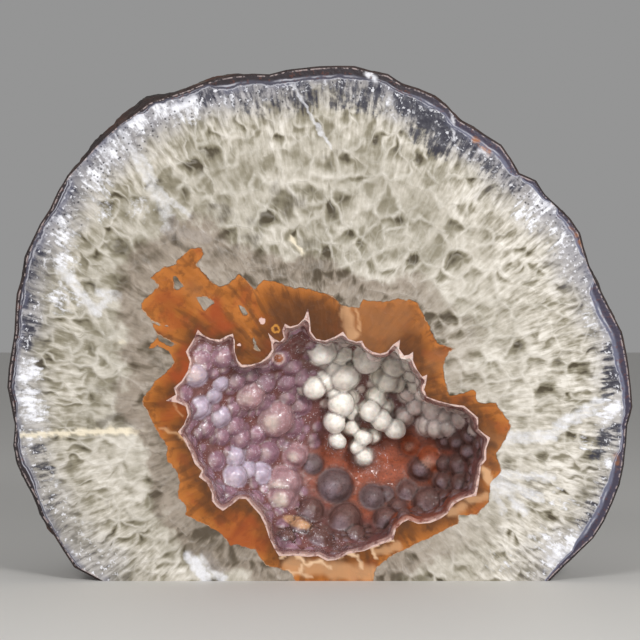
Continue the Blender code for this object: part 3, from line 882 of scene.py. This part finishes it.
quartzLook = {
    "heart": (325, 410),  # the crystals grow towards this place
    "aroundAt": 42,  # mm from there at which crystals are as wide as they say
    "sway": 5,  # mm
    "toMiddle": (4.5, 7),  # where the middle crystals take over, mm from the rind
    "toLarge": (15, 18.5),
    "fine": (0.8, 1.7),  # crystal width and length by the rind, mm
    "middle": (1.9, 3.6),
    "large": (4.4, 5.2),
    "white": screen(222, 216, 206),
    "light": screen(190, 183, 170),
    "olive": screen(130, 123, 104),
    "deep": screen(72, 63, 46),
    "frost": screen(238, 238, 244),
    "blue": screen(36, 36, 52),
    "haze": screen(122, 122, 136),
    "cream": screen(234, 222, 198),
    "smoky": screen(150, 136, 122),
    "smokyDark": screen(84, 72, 58),
    "speck": screen(34, 32, 38),
    "relief": 0.7,
    "fineShare": {"Height": 0.3, "Ridge": 0.3, "Own": 1, "TopShade": 0.6},  # how far those show
    "roughness": 0.38,
    "coat": 0.25,
    "specular": 0.3,
}
agateLook = screens({
    "amber": (148, 84, 20),
    "glow": (178, 106, 40),
    "tan": (142, 92, 52),
    "brown": (80, 42, 6),
    "red": (150, 64, 18),
    "line": (222, 188, 156),
    "pale": (208, 160, 116),
    "curls": (226, 190, 154),
    "chip": (214, 180, 172),
    "ring": (186, 126, 50),
})
rindLook = screens({
    "dark": (36, 27, 32),
    "blue": (54, 48, 66),
    "veil": (98, 100, 120),
    "orange": (160, 98, 40),
    "rust": (104, 52, 34),
    "edge": (176, 160, 158),
    "inner": (186, 186, 194),
})


def sweep(place, amount, scale=0.3):
    # moves a place about, so that round spots turn ragged
    clouds = put("TexNoise", {"Vector": place, "Scale": scale, "Detail": 3}).outputs["Color"]
    shift = vector("SUBTRACT", clouds, (0.5, 0.5, 0.5))
    return vector("ADD", place, stretched(shift, amount))


def growthPlace(place, sep):
    # along the rind and out from the heart, in mm, and which way is up there
    heartX, heartZ = onFace(*quartzLook["heart"])
    dx, dz = minus(sep["X"], heartX / mm), minus(sep["Z"], heartZ / mm)
    around = calc("ARCTAN2", dx, dz)
    out = calc("SQRT", plus(times(dx, dx), times(dz, dz)))
    sockets = {"Vector": place, "Scale": 0.16, "Detail": 2, "Roughness": 0.5}
    sway = partsOf(put("TexNoise", sockets).outputs["Color"])
    along = times(around, quartzLook["aroundAt"])
    outward = times(calc("LOGARITHM", out, math.e), quartzLook["aroundAt"])
    swayed = (scaled(sway[i], quartzLook["sway"], at) for i, at in enumerate((along, outward)))
    up = flatPlace(times(calc("SINE", around), -1), calc("COSINE", around))
    return flatPlace(*swayed), up, along, outward


def quartzColour(place, depth, band):
    look = quartzLook
    sep = put("SeparateXYZ", {0: place}).outputs
    growth, up, along, outward = growthPlace(place, sep)
    layers = []
    for name in ("fine", "middle", "large"):
        width, length = look[name]
        sockets = {"Vector": growth, "Width": width, "Length": length, "Up": up}
        layers.append(useGroup(crystals, sockets))
    cloud, lumpiness = cloudy(place, 9), cloudy(place, 3)
    swayed = swing(lumpiness, 5, swing(cloud, 12, depth))
    toMiddle, toLarge = rise(swayed, *look["toMiddle"]), rise(swayed, *look["toLarge"])

    def layered(name):
        outer = times(layers[0][name], look["fineShare"][name])
        first = between(toMiddle, outer, layers[1][name])
        inner = scaled(layers[1][name], 0 if name == "Own" else 0.35, layers[2][name])
        return between(toLarge, first, inner)

    height, ridge, own, topShade = (layered(name) for name in ("Height", "Ridge", "Own", "TopShade"))
    streak = flatPlace(over(along, 0.6), over(outward, 2.6))
    fibres = put("TexNoise", {"Vector": streak, "Scale": 1, "Detail": 3, "Roughness": 0.5})
    fibre = minus(fibres.outputs["Fac"], 0.5)
    fibreShare = scaled(fall(swayed, 5, 24), 0.9, 0.25)
    fibre = times(fibre, scaled(rise(sep["X"], 30, 55), 0.5, fibreShare))
    grain = cloudy(place, 0.9)

    # the crystals' painted top shade, stronger in some cells, darkens the colour here
    dim = times(topShade, scaled(rise(own, 0.2, 1), 0.85, 0.14))
    dim = scaled(fibre, 1.5, dim)
    dim = swing(lumpiness, 0.8, dim)
    dim = swing(cloud, 1.3, dim)
    dim = plus(dim, scaled(rise(sep["X"], 0, 60), -0.2, 0.28))
    colour = blend(rise(dim, -0.25, 0.22), look["white"], look["light"])
    colour = blend(rise(dim, 0.05, 0.65), colour, look["olive"])
    colour = blend(rise(dim, 0.6, 1.1), colour, look["deep"])
    colour = blend(times(ridge, rise(lumpiness, 0.35, 0.65), 0.5), colour, look["white"])

    brown = times(attribute("browned"), rise(fibre, -0.15, 0.1))
    colour = blend(brown, colour, look["deep"])
    blued, frosted = attribute("blued"), attribute("frosted")
    uneven = plus(times(fibre, 1.6), minus(grain, 0.5))
    haze = times(fall(swayed, 1, 12), scaled(rise(sep["Z"], 20, 90), 0.35, 0.4))
    colour = blend(haze, colour, look["haze"])
    dark = plus(scaled(uneven, 1.3, blued), times(fall(swayed, 0, 5), 0.25))
    dark = times(rise(dark, 0.3, 1.1), rise(plus(blued, fall(swayed, 0.5, 6)), 0.1, 0.5))
    colour = blend(times(dark, 0.92), colour, look["blue"])
    frosty = scaled(uneven, 1.4, frosted)
    white = times(rise(frosty, 0.35, 1.2), rise(frosted, 0.02, 0.3))
    sparkle = times(rise(grain, 0.58, 0.66), fall(swayed, 2, 9), 0.8)
    white = larger(white, sparkle)
    softly = rise(scaled(uneven, 0.5, attribute("whitened")), 0, 0.9)
    white = larger(white, times(softly, rise(attribute("whitened"), 0, 0.3)))
    colour = blend(white, colour, look["frost"])
    colour = blend(attribute("creamed"), colour, look["cream"])
    colour = blend(attribute("darkened"), colour, look["deep"])

    dots = put("TexVoronoi", {"Vector": place, "Scale": 0.95, "Randomness": 1})
    chosen = partsOf(dots.outputs["Color"])[1]
    speck = times(fall(dots.outputs["Distance"], 0.14, 0.3), rise(chosen, 0.45, 0.6))
    speck = times(speck, fall(swayed, 5, 10), rise(sep["Z"], 60, 95))
    colour = blend(times(speck, 0.85), colour, look["speck"])

    byBand = swing(cloud, 14, band)
    byBand = swing(lumpiness, 6, byBand)
    smoky = times(rise(byBand, -8, -4.5), fall(sep["X"], 15, 50))
    smoke = blend(rise(plus(dim, fibre), 0.1, 0.9), look["smoky"], look["smokyDark"])
    colour = blend(times(smoky, 0.85), colour, smoke)
    return colour, height, grain, sep, along, outward


def agateColour(place, band, rimGap, along, outward):
    look = agateLook
    broad = cloudy(place, 6.5)
    fine = cloudy(sweep(place, 3), 2.6)
    inward = scaled(fine, 3, band)
    colour = blend(rise(inward, 1, 4.6), look["glow"], look["amber"])
    across = flatPlace(over(along, 2.2), over(outward, 14))
    rays = put("TexNoise", {"Vector": across, "Scale": 1, "Detail": 2}).outputs["Fac"]
    colour = blend(times(rise(rays, 0.52, 0.66), 0.55), colour, look["glow"])
    colour = blend(times(fall(rays, 0.34, 0.48), 0.5), colour, look["brown"])
    colour = blend(times(rise(broad, 0.52, 0.66), 0.45), colour, look["red"])
    colour = blend(times(rise(fine, 0.48, 0.62), 0.4), colour, look["brown"])
    shade = times(fall(rimGap, 0, 4.5), scaled(fine, 1.2, 0.15))
    shadow = times(fall(rimGap, 0.3, 1.1), 0.5)
    colour = blend(larger(shade, shadow), colour, look["brown"])
    for name in ("Tan", "Red", "Pale", "Brown", "Curls"):
        colour = blend(attribute("agate" + name), colour, look[name.lower()])
    edge = times(fall(calc("ABSOLUTE", band), 0.05, 0.22), rise(fine, 0.5, 0.62))
    return blend(times(edge, 0.6), colour, look["line"])


def makePolishedQuartz():
    made, shader = newMaterial("polishedQuartz", quartzLook["roughness"], quartzLook["coat"])
    shader.inputs["Specular IOR Level"].default_value = quartzLook["specular"]
    place = inMillimetres()
    depth, bandDepth = attribute("rindDepth"), attribute("agateDepth")
    jitter = cloudy(place, 1.4)
    band = swing(jitter, 1.1, bandDepth)
    colour, height, grain, sep, along, outward = quartzColour(place, depth, bandDepth)
    inAgate = rise(band, -0.12, 0.12)
    agate = agateColour(place, band, attribute("rimDistance"), along, outward)
    colour = blend(inAgate, colour, agate)
    bent = sweep(place, 1.2, 0.9)
    for across, down, size in agateBand["chips"]:
        colour = blend(patch(bent, across, down, size, 0.2), colour, agateLook["chip"])
    for across, down, size in agateBand["rings"]:
        hole = patch(bent, across, down, size * 0.55, 0.3)
        ring = minus(patch(bent, across, down, size, 0.2), hole)
        colour = blend(ring, colour, agateLook["ring"])

    look = rindLook
    broad = cloudy(place, 6)
    ragged = swing(jitter, 0.5, minus(broad, 0.5))
    thick = scaled(ragged, 2.2, minus(attribute("rindThick"), 0.1))
    inward = minus(depth, thick)
    toRight = rise(sep["X"], 14, 40)
    outerSkin = blend(toRight, look["dark"], look["blue"])
    share = over(scaled(jitter, 0.5, depth), larger(thick, 0.3))
    banded = times(rise(share, 0.55, 0.8), scaled(toRight, 0.6, 0.35))
    skin = blend(banded, outerSkin, look["veil"])
    stripe = fall(calc("ABSOLUTE", minus(share, 0.78)), 0.03, 0.1)
    skin = blend(times(stripe, rise(broad, 0.4, 0.6), 0.7), skin, look["inner"])
    skin = blend(times(rise(grain, 0.56, 0.68), 0.4), skin, look["rust"])
    inner = times(fall(calc("ABSOLUTE", inward), 0.05, 0.28), rise(thick, 0.2, 0.8))
    outer = times(fall(depth, 0.1, 0.42), rise(grain, 0.42, 0.58))
    veil = times(fall(inward, 0.2, 2.2), rise(broad, 0.4, 0.6), 0.5)
    colour = blend(veil, colour, look["veil"])
    colour = blend(fall(inward, -0.15, 0.15), colour, skin)
    colour = blend(times(inner, rise(jitter, 0.35, 0.55), 0.6), colour, look["inner"])
    colour = blend(times(outer, 0.75), colour, look["edge"])
    mottled = rise(jitter, 0.3, 0.6)
    colour = blend(times(attribute("rindOrange"), mottled, 0.9), colour, look["orange"])
    colour = blend(times(attribute("rindWhite"), mottled, 0.9), colour, quartzLook["frost"])
    wire(shader.inputs["Base Color"], colour)

    relief = times(height, minus(1, times(inAgate, 0.9)))
    relief = times(relief, rise(inward, -0.3, 0.6))
    fineRelief = times(grain, minus(1, inAgate), 0.16)
    addBump(shader, plus(fineRelief, relief), quartzLook["relief"])
    return made


crustLook = {
    # painted shade: the dark brown in the creases between lumps and where they meet the floor
    "creaseShade": screen(64, 38, 32),
    "rim": screen(212, 180, 170),
    "glint": screen(244, 236, 244),
    "roughness": 0.26,
    "coat": 0.4,
    "dull": 0.6,  # its roughness low on the right, and its coat there
    "dullCoat": 0.08,
    "glow": {"Weight": 0.25, "Radius": (1, 0.5, 0.4), "Scale": 1.2 * mm},  # light under its skin
    # how strong the painted crease shade is on each kind of lump
    "creaseShading": {"white": 0.85, "greenish": 0.8, "grey": 0.8, "dusky": 1.3, "slate": 1.3},
}


def makeChalcedony():
    made, shader = newMaterial("chalcedony", crustLook["roughness"], crustLook["coat"])
    place = inMillimetres()
    tint = attribute("tint", "Color")
    creaseShade, rim = attribute("creaseShade"), attribute("rim")
    cloud = cloudy(place, 1.6)
    fine = cloudy(place, 0.45)
    shade = scaled(cloud, 1, 0.5)
    shadeColour = put("CombineColor", {0: shade, 1: shade, 2: shade}).outputs[0]
    colour = blend(1, tint, shadeColour, "MULTIPLY")
    # painted shade in the creases, broken up by the cloud
    creaseShading = times(creaseShade, scaled(cloud, 1.6, -0.1))
    colour = blend(creaseShading, colour, crustLook["creaseShade"])
    dull = attribute("dull")
    sparkly = fall(dull, 0.2, 0.8)
    # dark specks on the matt floor, in the crease shade's colour
    colour = blend(times(rise(fine, 0.52, 0.66), dull, 0.45), colour, crustLook["creaseShade"])
    glint = times(rise(fine, 0.58, 0.66), rise(cloud, 0.4, 0.6), sparkly, 0.6)
    colour = blend(glint, colour, crustLook["glint"])
    colour = blend(times(rim, rise(cloud, 0.3, 0.55)), colour, crustLook["rim"])
    wire(shader.inputs["Base Color"], colour)
    wire(shader.inputs["Roughness"], between(dull, crustLook["roughness"], crustLook["dull"]))
    wire(shader.inputs["Coat Weight"], between(dull, crustLook["coat"], crustLook["dullCoat"]))
    for name, value in crustLook["glow"].items():
        shader.inputs["Subsurface " + name].default_value = value
    addBump(shader, plus(times(cloud, 0.35), times(fine, 0.14)), 0.8)
    return made


skinLook = screens({
    "dark": (50, 40, 40),
    "rust": (92, 58, 44),
    "grey": (96, 96, 90),
    "pitShade": (22, 17, 18),
})


def makeSkin():
    made, shader = newMaterial("roughSkin", 0.78, 0)
    place = inMillimetres()
    broad = cloudy(place, 14)
    middle = cloudy(place, 3.5)
    fine = cloudy(place, 0.8)
    pits = put("TexVoronoi", {"Vector": sweep(place, 1.5, 0.6), "Scale": 0.5}).outputs["Distance"]
    colour = blend(rise(broad, 0.42, 0.62), skinLook["dark"], skinLook["rust"])
    colour = blend(times(rise(middle, 0.5, 0.7), 0.7), colour, skinLook["grey"])
    pitted = rise(cloudy(place, 7), 0.42, 0.62)
    # painted shade: darker in the pits, where the bump below sinks the surface
    colour = blend(times(fall(pits, 0.1, 0.45), pitted, 0.8), colour, skinLook["pitShade"])
    cut = fall(put("SeparateXYZ", {0: place}).outputs["Y"], faceY / mm + 0.6, faceY / mm + 2.5)
    colour = blend(times(cut, 0.8), colour, skinLook["dark"])
    wire(shader.inputs["Base Color"], colour)
    height = plus(times(middle, 1.6), times(fine, 0.6))
    height = plus(height, times(rise(pits, 0.05, 0.5), pitted, 0.8))
    addBump(shader, height, 0.9)
    return made


def makeSawnQuartz():
    made, shader = newMaterial("sawnQuartz", 0.6, 0)
    place = inMillimetres()
    sep = put("SeparateXYZ", {0: place}).outputs
    flat = flatPlace(sep["X"], sep["Y"])
    cells = useGroup(crystals, {"Vector": flat, "Width": 3.4, "Length": 3.4, "Up": (0, 1, 0)})
    cloud = cloudy(place, 8)
    sockets = {"Vector": place, "Scale": 0.5, "Distortion": 1.5, "Detail": 2}
    saw = put("TexWave", sockets, bands_direction="X")
    colour = blend(rise(cells["Height"], 0.1, 0.9), quartzLook["olive"], quartzLook["light"])
    colour = blend(times(rise(cloud, 0.45, 0.65), 0.5), colour, quartzLook["frost"])
    wire(shader.inputs["Base Color"], colour)
    height = plus(times(cells["Height"], 0.3), times(saw.outputs["Fac"], 0.1))
    addBump(shader, height, 0.5)
    return made


def dress(piece, material):
    piece.data.materials.clear()
    piece.data.materials.append(material)


crustTints = screens({
    "mauve": (156, 118, 132),
    "pale": (196, 180, 198),
    "capped": (176, 138, 142),
    # cream of the capped lumps' own caps, also the painted light on the front side of the other
    # pale lumps
    "capAndLitSide": (250, 242, 224),
    "white": (246, 240, 230),
    "greenish": (246, 242, 230),
    "grey": (222, 206, 200),
    "dusky": (110, 78, 72),
    "slate": (112, 92, 92),
    "floor": (160, 80, 48),
    "lining": (126, 80, 76),
    "hole": (170, 92, 44),
    "scar": (206, 160, 122),
    # painted light: the paler front side of the dark lumps
    "litSideOnDark": (168, 152, 164),
    "holeEdge": (214, 184, 180),
})


def reachOf(across, down, oval):
    # how many of its radii away from an oval each place is
    return np.hypot((across - oval[0]) / oval[2], (down - oval[1]) / oval[3])


def toward(tint, name, share):
    return tint + (np.array(crustTints[name][:3]) - tint) * share[:, None]


def nearestLumps(places, lumps):
    # each place's nearest lump, and how far it is from that one's skin and from the next one's
    first, second = np.full((2, len(places)), np.inf)
    owner = np.zeros(len(places), int)
    onWalls = len(lumps) - crust["walls"]["count"]
    for i, (kind, centre, radius, stalkEnd) in enumerate(lumps):
        gap = places - np.array(centre)
        if i < onWalls:  # its stalk counts too
            gap[:, 1] = np.maximum(gap[:, 1], 0) * 0.25 + np.minimum(gap[:, 1], 0)
        away = np.linalg.norm(gap, axis=1) - radius
        nearer = away < first
        second = np.where(nearer, first, np.minimum(second, away))
        first = np.where(nearer, away, first)
        owner[nearer] = i
    return owner, first, second


def tintCrust(piece, lumps):
    mesh = piece.data
    places = placesOf(mesh)
    owner, first, second = nearestLumps(places, lumps)
    kind = np.array([lump[0] for lump in lumps])[owner]
    centre = np.array([lump[1] for lump in lumps])[owner]
    radius = np.array([lump[2] for lump in lumps])[owner]
    tint = np.array([crustTints[lump[0]][:3] for lump in lumps])[owner]
    dark = np.isin(kind, ("slate", "dusky"))
    # the capped lumps' cream caps are their own colour; on the other lumps the paler side facing
    # the front is painted light
    capAndLitTint = np.where(dark[:, None], crustTints["litSideOnDark"][:3], crustTints["capAndLitSide"][:3])
    toCap = (places - centre) / radius[:, None]
    facing = -toCap[:, 1] - 0.25 * toCap[:, 2] - 0.3 * toCap[:, 0]
    capAndLitSide = smoothStep(facing, 0.7, 1.2) * np.where(kind == "capped", 1, np.where(dark, 0.7, 0.35))
    tint = tint + (capAndLitTint - tint) * capAndLitSide[:, None] * 0.8
    across, down = onSheet(places[:, 0], places[:, 2])
    onFloor = smoothStep(reachOf(across, down, crust["bareFloor"]), 1.15, 0.85)
    lining = toward(np.array(crustTints["lining"][:3]), "floor", onFloor)
    tint = tint + (lining - tint) * smoothStep(first, 0.1 * mm, 0.7 * mm)[:, None]
    toHole = reachOf(across, down, crust["hole"])
    tint = toward(tint, "holeEdge", smoothStep(toHole, 7.5, 6))
    tint = toward(tint, "hole", smoothStep(toHole, 5, 4))
    tilted = down - (across - crust["scar"][0]) * crust["scarTilt"]
    tint = toward(tint, "scar", smoothStep(reachOf(across, tilted, crust["scar"]), 1.15, 0.8))
    setValues(mesh, "tint", np.c_[tint, np.ones(len(tint))], "FLOAT_COLOR", "color")

    # painted shade in the creases between lumps, and a painted contact shadow where lumps meet the
    # floor
    creaseShade = smoothStep(second - first, 0.9 * mm, 0) * smoothStep(first, 1.4 * mm, 0.2 * mm)
    creaseShade *= np.array([crustLook["creaseShading"].get(lump[0], 0.6) for lump in lumps])[owner]
    contactShadow = smoothStep(first, 2 * mm, 0.1 * mm) * smoothStep(first, 0, 0.5 * mm) * onFloor
    setValues(mesh, "creaseShade", np.maximum(creaseShade, contactShadow * 0.9))
    rim = smoothStep(places[:, 1], faceY + 0.5 * mm, faceY + 0.1 * mm)
    behind = smoothStep(places[:, 1], faceY + 2.4 * mm, faceY + 0.3 * mm)
    setValues(mesh, "rim", np.maximum(rim, 0.5 * behind))
    chalky = np.isin(kind, ("white", "greenish", "grey"))
    matt = smoothStep(reachOf(across, down, crust["matt"]), 1.15, 0.85)
    setValues(mesh, "dull", matt * np.where(chalky, 0.3, 1))


polishedFace = makePolishedFace()
roughRind = makeRind()
sawnBase = makeSawnBase()
hollowCrust, lumps = makeCrust()
tintCrust(hollowCrust, lumps)
dress(polishedFace, makePolishedQuartz())
dress(hollowCrust, makeChalcedony())
dress(roughRind, makeSkin())
dress(sawnBase, makeSawnQuartz())
print("materials made")

view = {"lens": 135, "middle": (320, 320), "span": 640}  # in squares
camera = bpy.data.objects.new("camera", bpy.data.cameras.new("camera"))
bpy.context.scene.collection.objects.link(camera)
camera.data.lens = view["lens"]
camera.data.clip_start = 10 * mm
aimX, aimZ = onFace(*view["middle"])
distance = view["span"] * unit * camera.data.lens / camera.data.sensor_width
camera.location = (aimX, faceY - distance, aimZ)
camera.rotation_euler = (math.pi / 2, 0, 0)
bpy.context.scene.camera = camera
bpy.context.scene.view_settings.view_transform = "Standard"  # keeps the stone's own contrast

studio = {
    "floorSize": 4,
    "floorColour": screen(214, 212, 208),
    "floorRoughness": 0.6,
    "sky": 0.3,
    "lights": {  # place, height of its aim, size, power
        "key": ((-0.28, -0.66, 0.42), 0.06, 0.25, 2.25),
        "front": ((0.24, -0.66, 0.32), 0.05, 0.12, 2.2),
        "fill": ((0.42, -0.62, 0.3), 0.05, 0.2, 1.1),
    },
}
floor = bmesh.new()
bmesh.ops.create_grid(floor, x_segments=1, y_segments=1, size=studio["floorSize"])
floorMesh = bpy.data.meshes.new("floor")
floor.to_mesh(floorMesh)
floor.free()
floorPiece = bpy.data.objects.new("floor", floorMesh)
bpy.context.scene.collection.objects.link(floorPiece)
paleFloor, floorShader = newMaterial("paleFloor", studio["floorRoughness"], 0)
floorShader.inputs["Base Color"].default_value = studio["floorColour"]
dress(floorPiece, paleFloor)

world = bpy.data.worlds.new("studio")
bpy.context.scene.world = world
world.use_nodes = True
sky = world.node_tree.nodes["Background"].inputs
sky["Color"].default_value = (1, 1, 1, 1)
sky["Strength"].default_value = studio["sky"]
for name, (place, aimHeight, size, power) in studio["lights"].items():
    light = bpy.data.objects.new(name, bpy.data.lights.new(name, "AREA"))
    light.data.size = size
    light.data.energy = power
    light.location = place
    toAim = Vector((0, 0, aimHeight)) - Vector(place)
    light.rotation_euler = toAim.to_track_quat("-Z", "Y").to_euler()
    bpy.context.scene.collection.objects.link(light)
print("camera and lights set")
